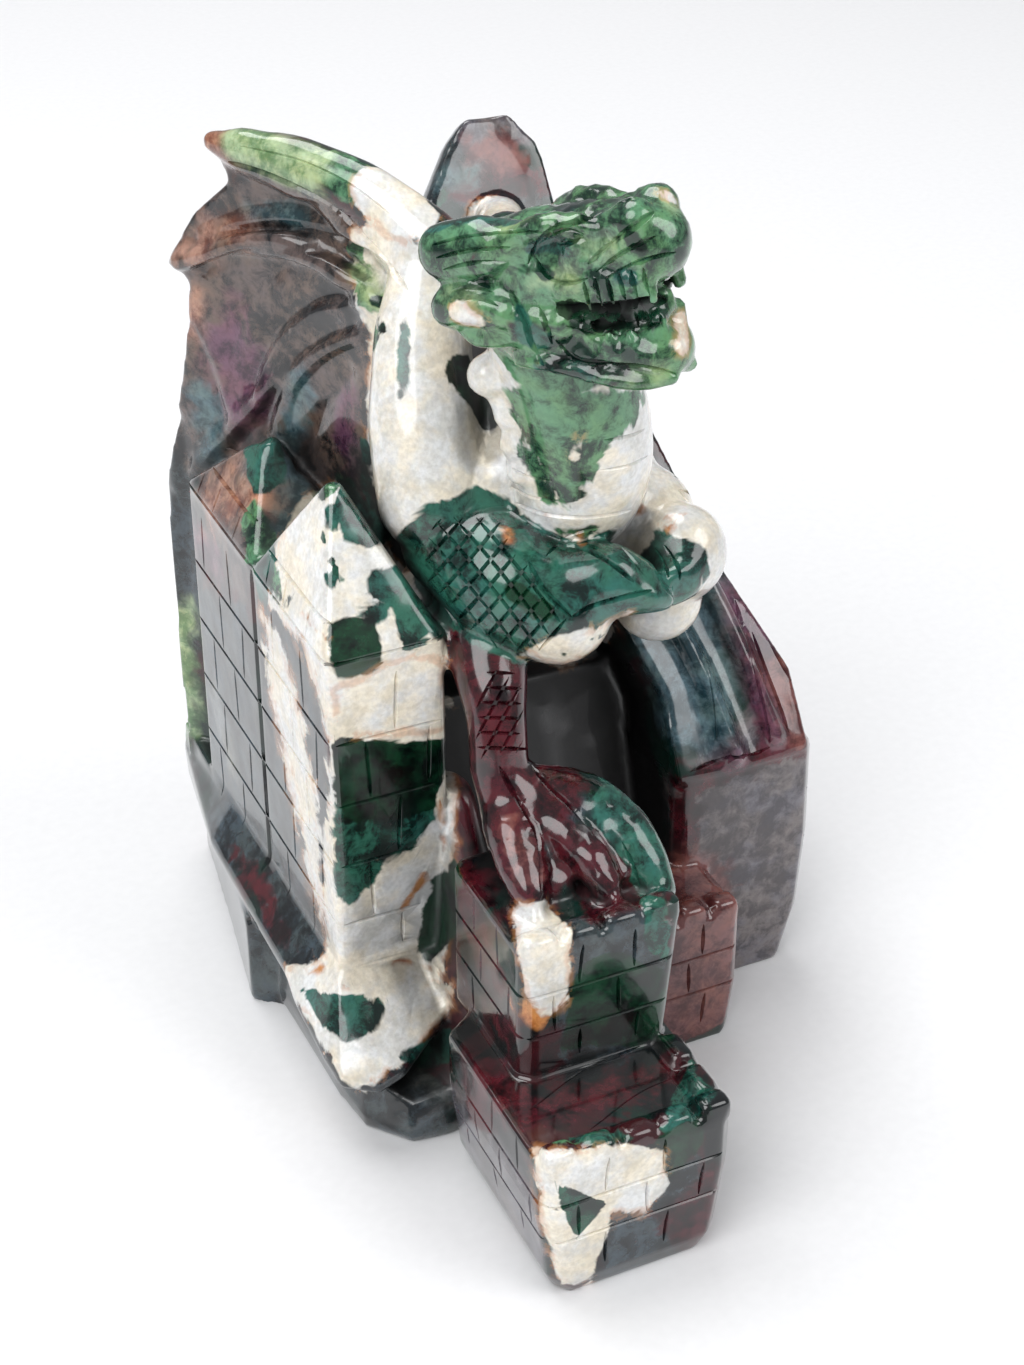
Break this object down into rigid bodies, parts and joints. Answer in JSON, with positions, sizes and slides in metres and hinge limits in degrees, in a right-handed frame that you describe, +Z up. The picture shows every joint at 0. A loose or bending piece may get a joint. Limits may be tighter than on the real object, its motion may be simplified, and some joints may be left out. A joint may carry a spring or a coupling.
{
  "type": "carved stone dragon figurine",
  "caption": "Polished jasper carving of a dragon that rises with swept-back wings behind a small brick castle, all in one stone.",
  "frame": {"origin": "middle of the bounding box in X and Y, on the surface that the carving stands on", "axes": "+Z up; the castle's front faces -Y; the dragon's head turns towards +X and its wings sweep back to +Y"},
  "size_m": [0.0782, 0.113, 0.131],
  "materials": {
    "jasper": "polished moss agate jasper, banded in green, cream, maroon and grey"
  },
  "bodies": {
    "root": {"jasper_dragon_carving": "jasper"}
  },
  "joints": []
}
